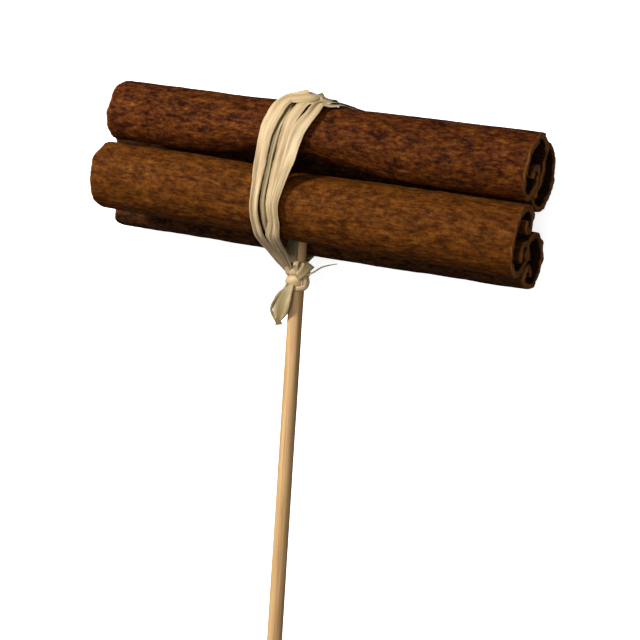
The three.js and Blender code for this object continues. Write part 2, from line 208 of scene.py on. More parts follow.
def bark_tree():
    """A sheet of bark rolled along its guide and drawn out into a stick, with fibres and torn edges."""
    t = Tree("rolled bark", "GeometryNodeTree", {
        "Geometry": GEOMETRY, "Roll cells": INT, "Length cells": INT, "Wall cells": INT,
        "Roll": FLOAT, "Length": FLOAT, "Centre": VECTOR, "Taper": FLOAT, "Lean": FLOAT, "Cut": VECTOR,
        "Waist": FLOAT, "Arch": FLOAT, "Foot start": FLOAT, "Lumps": FLOAT, "Fibres": FLOAT, "Torn": FLOAT,
        "Seed": FLOAT, "Material": MATERIAL,
    }, {"Geometry": GEOMETRY})
    i = t.input
    slab = t.group(SLAB, Along=i["Roll cells"], Across=i["Length cells"], Through=i["Wall cells"])
    u, v, w = slab["Along"], slab["Across"], slab["Through"]
    run = t.math("MULTIPLY", t.math("SUBTRACT", v, 0.5), i["Length"])
    # the free edges are torn: each stops a little short, more in some places than in others
    edge_at = t.join(t.math("MULTIPLY", run, 0.22), i["Seed"], t.math("ROUND", u))
    torn = t.math("DIVIDE", t.math("MULTIPLY", t.noise(edge_at, 3), i["Torn"]), i["Roll"])
    whole = t.math("SUBTRACT", 1.0, t.math("MULTIPLY", torn, 2.0))
    u_torn = t.math("ADD", torn, t.math("MULTIPLY", u, whole))
    guide = t.group(GUIDE, Guide=i["Geometry"], Along=u_torn)
    around = t.math("MULTIPLY", u_torn, i["Roll"])
    # the cut ends are a little uneven
    end_at = t.join(t.math("MULTIPLY", around, 0.5), t.math("MULTIPLY", w, 1.3), t.math("ADD", i["Seed"], v))
    end_run = t.math("MULTIPLY", i["Length"], 0.5)
    near_end = t.ramp(t.math("ABSOLUTE", run), t.math("SUBTRACT", end_run, END_REACH), end_run)
    cut = t.math("MULTIPLY", t.swing(end_at, END_SWING, 4), t.math("MULTIPLY", near_end, t.math("SIGN", run)))

    # relief of the bark, given in flat coordinates so that it follows the roll
    def flat(along, across, shift):
        """Where to take noise whose features are this long and this wide, in millimetres."""
        return t.join(t.math("DIVIDE", run, along), t.math("DIVIDE", around, across),
                      t.math("ADD", i["Seed"], shift))

    lumps = t.math("MULTIPLY", t.swing(flat(5.5, 2.2, 0.0), 2.0, 3), i["Lumps"])
    fibres = t.math("MULTIPLY", t.swing(flat(3.2, 0.34, 5.0), 2.0, 2), i["Fibres"])
    groove = t.math("ABSOLUTE", t.swing(flat(11.0, 1.5, 9.0), 2.0, 3))
    groove_depth = t.math("MULTIPLY", i["Fibres"], GROOVE_DEPTH)
    grooves = t.math("MULTIPLY", t.ramp(groove, 0.0, 0.07, 1.0, 0.0), groove_depth)
    outer = t.math("ADD", 0.25, t.math("MULTIPLY", w, 0.75))
    relief = t.math("MULTIPLY", t.math("ADD", t.math("ADD", lumps, fibres), grooves), outer)
    sway = t.swing(flat(30.0, 14.0, 13.0), SWAY, 1)
    rounding = t.math("SUBTRACT", 1.0, t.math("POWER", t.math("ABSOLUTE", t.math(
        "MULTIPLY", t.math("SUBTRACT", v, 0.5), 2.0)), 160.0))
    wall = t.math("MULTIPLY", t.math("MULTIPLY", t.math("SUBTRACT", w, 0.5), guide["Thick"]),
                  t.math("ADD", 0.82, t.math("MULTIPLY", rounding, 0.18)))
    outward = t.scaled(guide["Out"], t.math("ADD", t.math("ADD", wall, relief), sway))
    section_at = t.vector("ADD", t.scaled(guide["Place"], 1 / MM), outward)
    section = t.split(section_at)
    # the saw ran a little askew at the right end
    reach = t.vector("DOT_PRODUCT", i["Cut"], t.vector("ADD", section_at, (1, 0, 0)))
    askew = t.math("MULTIPLY", reach, t.ramp(v, 0.6, 1.0))
    x = t.math("ADD", t.math("ADD", run, cut), askew)
    taper = t.math("ADD", 1.0, t.math("MULTIPLY", i["Taper"], t.math("SUBTRACT", v, 0.5)))
    centre = t.split(i["Centre"])
    # a front stick is waisted under the raffia, on the side that faces its neighbour
    near_tie = t.ramp(t.math("ABSOLUTE", t.math("SUBTRACT", x, WAIST_X)), 0.0, WAIST_REACH, 1.0, 0.0)
    facing = t.math("MULTIPLY", section[1], t.math("SIGN", i["Waist"]))
    dent = t.math("MULTIPLY", t.ramp(facing, 0.0, WAIST_SIDE), t.math("MULTIPLY", near_tie, i["Waist"]))
    y = t.math("ADD", t.math("ADD", centre[1], t.math("MULTIPLY", x, i["Lean"])),
               t.math("ADD", t.math("MULTIPLY", section[1], taper), dent))
    share = t.math("DIVIDE", t.math("MULTIPLY", t.math("SUBTRACT", v, 0.5), 2.0), i["Foot start"])
    bow = t.math("MAXIMUM", t.math("SUBTRACT", 1.0, t.math("MULTIPLY", share, share)), 0.0)
    z = t.math("ADD", t.math("ADD", centre[2], section[2]), t.math("MULTIPLY", bow, i["Arch"]))
    at = t.join(t.math("ADD", centre[0], x), y, t.math("MAXIMUM", z, OFF_FLOOR))
    at_end = t.math("GREATER_THAN", t.math("ABSOLUTE", t.math("SUBTRACT", v, 0.5)), AT_RIM)
    at_edge = t.math("GREATER_THAN", t.math("ABSOLUTE", t.math("SUBTRACT", u, 0.5)), AT_RIM)
    sheet = t.join(run, around, t.math("ADD", w, t.math("MULTIPLY", i["Seed"], 3.0)))
    mask = t.join(t.math("MAXIMUM", at_end, at_edge), w, u)
    finish_tree(t, slab["Mesh"], t.scaled(at, MM), sheet, mask)
    return t


def strip_tree():
    """A flat strip of raffia laid along its guide, pleated lengthwise and a little crinkled."""
    # its Shade input darkens the whole strip towards dark olive in the raffia finish: painted shade
    t = Tree("raffia strip", "GeometryNodeTree", {
        "Geometry": GEOMETRY, "Length cells": INT, "Width cells": INT, "Length": FLOAT,
        "Pleats": FLOAT, "Pleat depth": FLOAT, "Crinkle": FLOAT, "Cup": FLOAT, "Painted shade": FLOAT, "Seed": FLOAT,
        "Material": MATERIAL,
    }, {"Geometry": GEOMETRY})
    i = t.input
    slab = t.group(SLAB, Along=i["Length cells"], Across=i["Width cells"], Through=3)
    u, v, w = slab["Along"], slab["Across"], slab["Through"]
    guide = t.group(GUIDE, Guide=i["Geometry"], Along=u)
    across = t.vector("NORMALIZE", t.vector("CROSS_PRODUCT", guide["Heading"], guide["Out"]))
    run = t.math("MULTIPLY", u, i["Length"])
    side = t.math("SUBTRACT", v, 0.5)
    spread = t.math("ADD", 1.0, t.swing(t.join(t.math("DIVIDE", run, 5.0), i["Seed"], 0.0), 0.5))
    wide = t.math("MULTIPLY", guide["Wide"], spread)
    wander = t.swing(t.join(t.math("DIVIDE", run, 9.0), i["Seed"], 4.0), 0.5)
    over = t.math("ADD", t.math("MULTIPLY", side, wide), wander)
    pleat_at = t.join(t.math("DIVIDE", run, 16.0), t.math("MULTIPLY", v, i["Pleats"]), i["Seed"])
    pleats = t.math("MULTIPLY", t.swing(pleat_at, 2.0, 1), i["Pleat depth"])
    crinkle_at = t.join(t.math("DIVIDE", run, 1.8), t.math("DIVIDE", over, 0.3), i["Seed"])
    crinkle = t.math("MULTIPLY", t.swing(crinkle_at, 2.0, 2), i["Crinkle"])
    cup = t.math("MULTIPLY", t.math("MULTIPLY", side, side), i["Cup"])
    thin = t.math("SUBTRACT", 1.0, t.math("POWER", t.math("ABSOLUTE", t.math("MULTIPLY", side, 2.0)), 6.0))
    wall = t.math("MULTIPLY", t.math("SUBTRACT", w, 0.5), guide["Thick"])
    body = t.math("MULTIPLY", wall, t.math("ADD", 0.3, t.math("MULTIPLY", thin, 0.7)))
    raised = t.math("ADD", t.math("ADD", t.math("ADD", pleats, crinkle), cup), body)
    at = t.vector("ADD", t.scaled(across, over), t.scaled(guide["Out"], raised))
    lowest = (-1.0, -1.0, STRIP_OFF_FLOOR * MM)
    position = t.vector("MAXIMUM", t.vector("ADD", guide["Place"], t.scaled(at, MM)), lowest)
    sheet = t.join(run, over, t.math("ADD", w, t.math("MULTIPLY", i["Seed"], 3.0)))
    # the mask's first part is the pleat height less the strip's painted shade; the raffia finish darkens the
    # strip where it is low
    mask = t.join(t.math("SUBTRACT", pleats, i["Painted shade"]), w, v)
    finish_tree(t, slab["Mesh"], position, sheet, mask)
    return t


def pick_tree():
    """A round turned stick along X, its ends cut off plainly, with a fine lengthwise grain."""
    t = Tree("turned pick", "GeometryNodeTree", {
        "Geometry": GEOMETRY, "Length": FLOAT, "Radius": FLOAT, "Grain": FLOAT, "Material": MATERIAL,
    }, {"Geometry": GEOMETRY})
    i = t.input
    body = t.add("GeometryNodeMeshCylinder", {
        "Vertices": 56, "Side Segments": 320, "Fill Segments": 5, "Radius": 1.0, "Depth": 1.0,
    })
    here = t.split(t.add("GeometryNodeInputPosition").outputs[0])
    run = t.math("MULTIPLY", here[2], i["Length"])
    ring = t.join(t.math("DIVIDE", run, 14.0), t.math("MULTIPLY", here[0], 3.4),
                  t.math("MULTIPLY", here[1], 3.4))
    grain = t.math("MULTIPLY", t.swing(ring, 2.0, 3), i["Grain"])
    near = t.math("SUBTRACT", t.math("MULTIPLY", i["Length"], 0.5), t.math("ABSOLUTE", run))
    bevel = t.math("MULTIPLY", t.ramp(near, 0.0, 0.5, 1.0, 0.0), -0.14)
    radius = t.math("ADD", i["Radius"], t.math("ADD", grain, bevel))
    at = t.join(run, t.math("MULTIPLY", here[0], radius), t.math("MULTIPLY", here[1], radius))
    sheet = t.join(run, t.math("MULTIPLY", here[0], i["Radius"]), t.math("MULTIPLY", here[1], i["Radius"]))
    at_end = t.math("GREATER_THAN", t.math("ABSOLUTE", here[2]), AT_RIM)
    finish_tree(t, body.outputs["Mesh"], t.scaled(at, MM), sheet, t.join(at_end, 0.0, 0.0))
    return t


def grow(name, tree, guide, values):
    """Runs a tree on a guide line and gives back the plain mesh object that it makes."""
    base = bpy.data.objects.new(name + "_guide", guide)
    bpy.context.scene.collection.objects.link(base)
    modifier = base.modifiers.new("shape", "NODES")
    modifier.node_group = tree.tree
    for item in tree.tree.interface.items_tree:
        if item.in_out == "INPUT" and item.name in values:
            modifier[item.identifier] = values[item.name]
    bpy.context.view_layer.update()
    mesh = bpy.data.meshes.new_from_object(base.evaluated_get(bpy.context.evaluated_depsgraph_get()))
    bpy.data.objects.remove(base)
    mesh.name = name
    piece = bpy.data.objects.new(name, mesh)
    bpy.context.scene.collection.objects.link(piece)
    return piece


def guide_mesh(stations):
    """A line of points in millimetres, each with its outward side, width and thickness."""
    mesh = bpy.data.meshes.new("guide")
    edges = [(i, i + 1) for i in range(len(stations) - 1)]
    mesh.from_pydata([s["at"] * MM for s in stations], edges, [])
    out = mesh.attributes.new("out", "FLOAT_VECTOR", "POINT")
    out.data.foreach_set("vector", [c for s in stations for c in s["out"]])
    for label in ("wide", "thick"):
        mesh.attributes.new(label, "FLOAT", "POINT").data.foreach_set("value", [s[label] for s in stations])
    return mesh


def guide_length(stations):
    return sum((b["at"] - a["at"]).length for a, b in zip(stations, stations[1:]))


# ---------------------------------------------------------------- the rolled bark

TURN_STEP = 4.0       # degrees of roll between two points of a guide
EDGE_WALL = 0.5       # wall at a free edge, as a share of the full wall
EDGE_TAPER = 1.5      # how far from the free edge the wall thins
BACK_ARCH = 0.95      # how far a back stick bows up between its feet
FOOT_START = 0.86     # share of the half length where a foot begins
FOOT_DEPTH = 0.2      # how much of the round is worn flat at a foot
TUCK_ROOM = 0.3       # air between the wall and the edge tucked inside it
END_ROOM = 0.5        # length left for the uneven cut at the ends

# first and last are where the round part of the roll begins and ends, in degrees from the top of the page.
# A curl is its first radius, its last radius and how far it turns. A stick without a first curl tucks its
# last edge in under its first, from tuck degrees of turn on. lean is its slope up the page to the right, and
# narrow is the share of its width that it loses to the left. waist is how far the raffia dents it up the
# page, on the side that faces its neighbour. cut is how far out the right end is sawn, and that cut's slopes
# up the page and up from the floor.
# The back sticks take a darker bark, darkened further to paint the shade they lie in.
ROLLS = {
    "quill_back_top": {
        "wall": 1.1, "first": -33, "last": 212, "first_curl": (2.4, 2.0, 150), "last_curl": (2.5, 2.0, 140),
        "back": True, "lean": 0.0, "narrow": -0.02, "waist": 0, "cut": (0, 0, 0),
        "seed": 3.1, "slot": "bark_dark",
    },
    "quill_back_bottom": {
        "wall": 1.05, "first": -22, "last": 206, "first_curl": (1.65, 1.3, 300), "last_curl": (2.4, 1.6, 170),
        "back": True, "lean": 0.008, "narrow": 0.0, "waist": 0, "cut": (0, 0, 0),
        "seed": 7.7, "slot": "bark_dark",
    },
    "quill_front_top": {
        "wall": 1.25, "first": -142, "tuck": 240, "first_curl": None, "last_curl": (1.95, 1.5, 270),
        "back": False, "lean": -0.002, "narrow": 0.06, "waist": 2.0, "cut": (0.5, 0.08, 0.02),
        "seed": 11.3, "slot": "bark_red",
    },
    "quill_front_bottom": {
        "wall": 1.2, "first": -30, "last": 233, "first_curl": (1.6, 1.1, 290), "last_curl": (2.4, 1.4, 320),
        "back": False, "lean": -0.006, "narrow": 0.006, "waist": -0.5, "cut": (0.3, 0.03, 0.06),
        "seed": 17.9, "slot": "bark_olive",
    },
}


def quill_size(node):
    """Left end, length, middle height, and half width and half height of a stick, from its CAD box."""
    roll = ROLLS[node]
    low, high = box_mm(node)
    length = high.x - low.x
    half_width = (high.y - low.y - abs(roll["lean"]) * length) / 2
    sunk, bow = (FOOT_DEPTH, BACK_ARCH) if roll["back"] else (0, 0)
    half_height = (high.z - low.z + sunk - bow) / 2
    return {
        "length": length, "half_width": half_width, "half_height": half_height,
        "centre": Vector(((low.x + high.x) / 2, (low.y + high.y) / 2, low.z - sunk + half_height)),
        "bow": bow,
    }


def curl(start, heading, sizes, sense):
    """A curl that goes on from a point with a heading, its radius shrinking as it turns."""
    first, last, turn = sizes
    steps = int(turn / TURN_STEP) + 1
    angle = math.radians(turn) / steps
    points = []
    at = start
    for i in range(steps):
        radius = first + (last - first) * (i + 0.5) / steps
        heading += sense * angle / 2
        at = at + Vector((math.cos(heading), math.sin(heading))) * radius * angle
        heading += sense * angle / 2
        points.append(at)
    return points


def roll_line(roll, half_width, half_height):
    """The middle line of the rolled sheet: up the page and up from the floor."""
    across = half_width - roll["wall"] / 2
    rise = half_height - roll["wall"] / 2
    single = roll["first_curl"] is None
    sweep = 360 if single else roll["last"] - roll["first"]
    steps = round(sweep / TURN_STEP)
    points = []
    for i in range(steps + 1):
        turned = sweep * i / steps
        angle = math.radians(roll["first"] + turned)
        share = min(max((turned - roll["tuck"]) / (sweep - roll["tuck"]), 0), 1) if single else 0
        sink = (roll["wall"] + TUCK_ROOM) * share * share * (3 - 2 * share)
        points.append(Vector(((across - sink) * math.cos(angle), (rise - sink) * math.sin(angle))))

    def aim(a, b):
        return math.atan2(b.y - a.y, b.x - a.x)

    half = math.radians(sweep / steps) / 2
    tail = curl(points[-1], aim(points[-2], points[-1]) + half, roll["last_curl"], 1)
    head = [] if single else curl(points[0], aim(points[1], points[0]) - half, roll["first_curl"], -1)
    return head[::-1] + points + tail


def roll_stations(node, size):
    """The guide of a rolled stick, scaled so that its wall just fills the stick's width and height."""
    roll = ROLLS[node]
    line = roll_line(roll, size["half_width"], size["half_height"])
    along = [0.0]
    for a, b in zip(line, line[1:]):
        along.append(along[-1] + (b - a).length)
    last = len(line) - 1
    stations = []
    for i, point in enumerate(line):
        heading = (line[min(i + 1, last)] - line[max(i - 1, 0)]).normalized()
        edge = min(along[i], along[-1] - along[i])
        wall = roll["wall"] * min(1, EDGE_WALL + (1 - EDGE_WALL) * edge / EDGE_TAPER)
        stations.append((point, Vector((heading.y, -heading.x)), wall))
    reach = [p + n * w / 2 * s for p, n, w in stations for s in (-1, 1)]
    low = Vector((min(p.x for p in reach), min(p.y for p in reach)))
    high = Vector((max(p.x for p in reach), max(p.y for p in reach)))
    turn = -1 if roll["back"] else 1
    scale = Vector((2 * size["half_width"] / (high.x - low.x), 2 * size["half_height"] / (high.y - low.y)))
    middle = (low + high) / 2
    made = []
    for point, normal, wall in stations:
        y, z = (point.x - middle.x) * scale.x * turn, (point.y - middle.y) * scale.y * turn
        made.append({"at": Vector((0, y, z)), "out": Vector((0, normal.x * turn, normal.y * turn)),
                     "wide": 1.0, "thick": wall})
    return made


def make_quill(node, tree, material):
    roll = ROLLS[node]
    size = quill_size(node)
    stations = roll_stations(node, size)
    piece = grow(node + "_bark", tree, guide_mesh(stations), {
        "Roll cells": 200, "Length cells": 230,
        "Wall cells": 5, "Roll": guide_length(stations), "Length": size["length"] - END_ROOM,
        "Centre": size["centre"], "Taper": roll["narrow"], "Lean": roll["lean"], "Cut": roll["cut"],
        "Waist": roll["waist"], "Arch": size["bow"], "Foot start": FOOT_START,
        "Lumps": 0.16, "Fibres": 0.055, "Torn": 1.8,
        "Seed": roll["seed"], "Material": material,
    })
    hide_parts(node)
    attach(piece, "root")
    return piece


# ---------------------------------------------------------------- the pick

PICK_RADIUS = 1.4
PICK_ROOM = 0.03      # left for the grain
PICK_REACH = 0.97     # share of the radius by which the tilted pick's box passes its middle line


def pick_line():
    """The pick's two ends and its directions, worked out from its box."""
    low, high = box_mm("pick")
    reach = PICK_RADIUS * PICK_REACH
    top = Vector((low.x + reach, high.y, high.z - reach))
    tip = Vector((high.x - reach, low.y, low.z + reach))
    run = (top - tip).normalized()
    side = run.cross(Vector((0, 0, 1))).normalized()
    return top, tip, run, side, side.cross(run).normalized()


PICK_TOP, PICK_TIP, PICK_RUN, PICK_SIDE, PICK_UP = pick_line()


def make_pick(tree, material):
    guide = guide_mesh([{"at": Vector((i, 0, 0)), "out": Vector((0, 0, 1)), "wide": 1.0, "thick": 1.0}
                        for i in range(2)])
    piece = grow("turned_pick", tree, guide, {
        "Length": (PICK_TOP - PICK_TIP).length, "Radius": PICK_RADIUS - PICK_ROOM,
        "Grain": 0.05, "Material": material,
    })
    turn = Matrix((PICK_RUN, PICK_SIDE, PICK_UP)).transposed().to_4x4()
    piece.data.transform(Matrix.Translation((PICK_TOP + PICK_TIP) / 2 * MM) @ turn)
    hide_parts("pick")
    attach(piece, "root")
    return piece


# ---------------------------------------------------------------- the raffia

STRIP = 0.16          # thickness of one strip
CLEAR = 0.22          # from the bark to the lowest strip
KNOT_Y = -18.4        # the knot's place up the page, from the anchor
PLEAT_ROOM = 0.25     # lifts a strip so that its pleats clear what is under it
HULL_POINTS = 400
WRONG_SIDE = 1000     # added to a miss, so that a spot is never looked for on another side
STEP_BACK = 0.02      # share of the way round that a strip may go back between two stops


def tight_line(points):
    """The convex line that a strip pulled tight round these points takes."""
    ordered = sorted(points)

    def half(items):
        hull = []
        for p in items:
            while len(hull) > 1:
                (ax, ay), (bx, by) = hull[-2], hull[-1]
                if (bx - ax) * (p[1] - ay) - (by - ay) * (p[0] - ax) > 0:
                    break
                hull.pop()
            hull.append(p)
        return hull[:-1]

    return half(ordered) + half(ordered[::-1])


def bundle_line():
    """Evenly spaced points round the four sticks, from the top of the front ones down the front first."""
    around = []
    for node in ROLLS:
        size = quill_size(node)
        centre = size["centre"] + Vector((0, 0, size["bow"]))
        for i in range(180):
            a = math.radians(i * 2)
            around.append((centre.y + (size["half_width"] + CLEAR) * math.cos(a),
                           centre.z + (size["half_height"] + CLEAR) * math.sin(a)))
    hull = tight_line(around)
    top = max(range(len(hull)), key=lambda i: sum(hull[i]))
    loop = [Vector(p) for p in hull[top:] + hull[:top + 1]]
    lengths = [0.0]
    for a, b in zip(loop, loop[1:]):
        lengths.append(lengths[-1] + (b - a).length)
    even = []
    at = 0
    for i in range(HULL_POINTS):
        want = lengths[-1] * i / HULL_POINTS
        while lengths[at + 1] < want:
            at += 1
        t = (want - lengths[at]) / (lengths[at + 1] - lengths[at])
        even.append(loop[at].lerp(loop[at + 1], t))
    return even


LOOP = bundle_line()
MID_HEIGHT = sum(p.y for p in LOOP) / HULL_POINTS
MID_PAGE = sum(p.x for p in LOOP) / HULL_POINTS


def share_at(side, value):
    """The share of the way round at a spot: up the page on the front and back, else up from the floor."""
    def miss(i):
        p = LOOP[i]
        wanted = {"front": p.y > MID_HEIGHT, "back": p.y < MID_HEIGHT,
                  "under": p.x < MID_PAGE, "over": p.x > MID_PAGE}[side]
        measure = p.x - ANCHOR.y if side in ("front", "back") else p.y
        return abs(measure - value) + (0 if wanted else WRONG_SIDE)
    return min(range(HULL_POINTS), key=miss) / HULL_POINTS


def loop_point(share):
    """Place and outward side on the bundle's tight line."""
    at = share % 1.0 * HULL_POINTS
    i = int(at)
    a, b = LOOP[i % HULL_POINTS], LOOP[(i + 1) % HULL_POINTS]
    before, after = LOOP[(i - 2) % HULL_POINTS], LOOP[(i + 3) % HULL_POINTS]
    point = a.lerp(b, at - i)
    run = (after - before).normalized()
    return point, Vector((run.y, -run.x))


def eased(rows, knots, t):
    """A smooth curve through rows of numbers, one at each knot. t goes from 0 to 1 over the knots."""
    last = len(rows) - 1
    at = knots[0] + (knots[-1] - knots[0]) * t
    i = max(k for k in range(last) if k == 0 or knots[k] <= at)
    step = knots[i + 1] - knots[i]
    f = (at - knots[i]) / step

    def slopes(k):
        before, after = max(k - 1, 0), min(k + 1, last)
        return [(q - p) / (knots[after] - knots[before]) for p, q in zip(rows[before], rows[after])]

    return [
        p * (1 + 2 * f) * (1 - f) ** 2 + q * f * f * (3 - 2 * f) + step * f * (1 - f) * (m * (1 - f) - n * f)
        for p, q, m, n in zip(rows[i], rows[i + 1], slopes(i), slopes(i + 1))
    ]


def wound_stations(stops, count):
    """Stations of a strip wound round the bundle. A stop is a side, a spot on it, x, width and lift."""
    shares = []
    for side, value, *_ in stops:
        share = share_at(side, value)
        while shares and share < shares[-1] - STEP_BACK:
            share += 1
        shares.append(share)
    rows = [(*stop[2:], 0.0)[:4] for stop in stops]
    stations = []
    for i in range(count):
        t = i / (count - 1)
        x, width, lift, turned = eased(rows, shares, t)
        point, out = loop_point(shares[0] + (shares[-1] - shares[0]) * t)
        spot = point + out * (STRIP / 2 + PLEAT_ROOM + lift)
        stations.append({"at": Vector((ANCHOR.x + x, spot.x, spot.y)),
                         "out": Vector((0, out.x, out.y + max(turned, 0))).normalized(),
                         "wide": width, "thick": STRIP})
    return stations


def free_stations(stops, count, thick=STRIP):
    """Stations of a strip through given places. A stop is a place, an outward side and a width."""
    rows = [(*spot, *Vector(out).normalized(), width) for spot, out, width in stops]
    knots = [0.0]
    for (before, _, _), (after, _, _) in zip(stops, stops[1:]):
        knots.append(knots[-1] + (after - before).length)
    stations = []
    for i in range(count):
        row = eased(rows, knots, i / (count - 1))
        stations.append({"at": Vector(row[:3]), "out": Vector(row[3:6]).normalized(),
                         "wide": row[6], "thick": thick})
    return stations


def by_pick(right, up, front):
    """A place by the pick: how far right of it, up from the knot's middle, and off it to the front."""
    share = (PICK_TOP.y - (ANCHOR.y + KNOT_Y)) / (PICK_TOP.y - PICK_TIP.y)
    on_pick = PICK_TOP.lerp(PICK_TIP, share)
    return on_pick + PICK_RUN * up + PICK_SIDE * right + PICK_UP * front


def knot_wrap(turns, start, rise, radius, width, count):
    """A strip wound round the pick as it climbs. Angles start at the pick's right and pass its front."""
    stations = []
    for i in range(count):
        t = i / (count - 1)
        a = math.radians(start) + turns * 2 * math.pi * t
        out = PICK_SIDE * math.cos(a) + PICK_UP * math.sin(a)
        up = rise[0] + (rise[1] - rise[0]) * t
        grown = radius[0] + (radius[1] - radius[0]) * t
        at = by_pick(0, up, 0) + out * grown
        stations.append({"at": at, "out": out, "wide": width, "thick": STRIP})
    return stations


# Wound stops are: side, spot, x from the anchor, width, lift off the bark, and how far the strip's flat side
# is turned up to the front, where it isn't 0.
LEFT_TURN = [
    ("back", -9, -6.2, 2.0, 0.0), ("back", 0, -5.2, 2.4, 0.1), ("back", 9, -3.0, 2.8, 0.1),
    ("over", 5, -0.8, 3.0, 0.1), ("over", 14, 0.3, 2.8, 0.3, 0.2), ("over", 20.5, 0.1, 2.8, 0.7, 0.5),
    ("over", 24.5, -1.6, 2.9, 1.2, 1.0), ("front", 10.6, -4.3, 2.6, 0.9, 0.4),
    ("front", 7, -6.2, 2.8, 0.3), ("front", 4.5, -6.8, 2.7, 0.15), ("front", 0, -6.9, 2.2, 0.1),
    ("front", -4, -6.85, 1.8, 0.1), ("front", -7.5, -6.75, 1.6, 0.1), ("front", -10.5, -6.5, 1.7, 0.1),
]
MIDDLE_TURN = [
    ("back", -9, -4.8, 1.8, 0.1), ("back", 4, -3.4, 2.0, 0.0), ("over", 4, 0.6, 2.6, 0.0),
    ("over", 14, 1.6, 3.0, 0.2, 0.3), ("over", 21, 1.3, 3.0, 0.4, 0.5), ("over", 24.5, -0.8, 3.2, 0.8, 0.9),
    ("front", 11.4, -3.5, 1.4, 0.1, 0.3), ("front", 8.5, -4.1, 1.4, -0.1), ("front", 5, -4.8, 1.3, -0.1),
    ("front", 0, -5.2, 1.1, -0.1), ("front", -6, -5.2, 0.9, -0.15), ("front", -10, -4.7, 0.9, -0.1),
    ("under", 22, -4.6, 1.0, 0.0), ("under", 17, -5.2, 1.2, 0.1), ("under", 12, -5.8, 1.3, 0.1),
    ("under", 5, -5.6, 1.6, 0.2), ("back", -5, -3.6, 2.0, 0.1),
]
RIGHT_INNER = [
    ("back", -9, -3.4, 1.8, 0.1), ("back", 4, -2.4, 2.2, 0.15), ("over", 4, 1.6, 2.2, 0.0),
    ("over", 13, 3.0, 2.2, 0.0, 0.1), ("over", 20, 2.5, 2.4, 0.1, 0.3), ("over", 24.5, 0.9, 2.5, 0.5, 0.9),
    ("front", 10.8, -1.0, 2.5, 0.5), ("front", 8.5, -2.2, 2.4, 0.35), ("front", 5.5, -2.9, 2.2, 0.4),
    ("front", 0, -3.45, 1.9, 0.5), ("front", -3.5, -3.65, 1.5, 0.45), ("front", -7, -3.7, 1.3, 0.35),
    ("front", -10.4, -3.3, 1.3, 0.1),
]
RIGHT_OUTER = [
    ("back", -9, -2.4, 1.8, 0.25), ("back", 4, -0.6, 2.2, 0.0), ("over", 4, 3.4, 2.0, -0.1),
    ("over", 13, 4.4, 2.0, -0.5), ("over", 20, 3.8, 2.0, -0.42), ("over", 24.5, 2.8, 2.2, 0.1, 0.3),
    ("front", 10.8, 1.5, 2.4, 0.45), ("front", 8.5, 0.7, 2.4, 0.45), ("front", 5.5, -0.55, 2.5, 0.5),
    ("front", 0, -1.4, 2.2, 0.6), ("front", -3.5, -2.1, 1.7, 0.55), ("front", -7, -2.5, 1.4, 0.5),
    ("front", -10.4, -2.2, 1.3, 0.22),
]
TO_BACK = -2.2        # how far behind the pick's middle a strap reaches the knot
TO_FRONT = 1.5


def knotted(stops, start, end, count):
    """A wound strip whose ends leave the bundle and go to the knot through the given free stops."""
    wound = wound_stations(stops, 70)
    rows = [(s["at"], s["out"], s["wide"]) for s in wound]
    return free_stations(start + rows + end, count)


def back_strap(shift, width):
    """The free stops of a strap from the back of the knot up to the back of the bundle."""
    return [
        (by_pick(-0.3 + shift, 0.4, TO_BACK), (0, -0.3, -1), width * 0.6),
        (by_pick(-0.9 + shift, 2.4, TO_BACK - 1.2), (0, -0.7, -0.7), width * 0.7),
    ]


def front_strap(x, shift, width):
    """The free stops of a strap that hangs off the lower front stick at x and goes down to the knot."""
    edge, low = Vector((0, -0.75, 0.65)), Vector((0, -0.6, 0.8))
    knot = by_pick(-1.1 + shift, 1.0, TO_FRONT)
    first, second = place(x, -13.1, 23.8), place(x, -14.3, 20.6).lerp(knot, 0.38)
    return [(first, edge, width), (second, low, width * 0.85), (knot, (0, 0, 1), width * 0.5)]


def turn_strips():
    """Every long strip: its stations, and its pleats, pleat depth, crinkle, cup, painted shade and seed."""
    return [
        (knotted(LEFT_TURN, [], front_strap(-6.1, -0.3, 2.0), 280), (2.4, 0.42, 0.06, -0.1, 0.0, 1.3)),
        (wound_stations(MIDDLE_TURN, 240), (2.0, 0.3, 0.05, 0.0, 0.2, 4.9)),
        (knotted(RIGHT_INNER, back_strap(-0.2, 1.6), front_strap(-4.1, -0.1, 1.6), 260),
         (2.0, 0.36, 0.06, -0.1, 0.0, 8.2)),
        (knotted(RIGHT_OUTER, back_strap(0.5, 1.4), front_strap(-3.1, 0.4, 1.6), 260),
         (2.2, 0.4, 0.06, -0.1, 0.0, 12.6)),
    ]


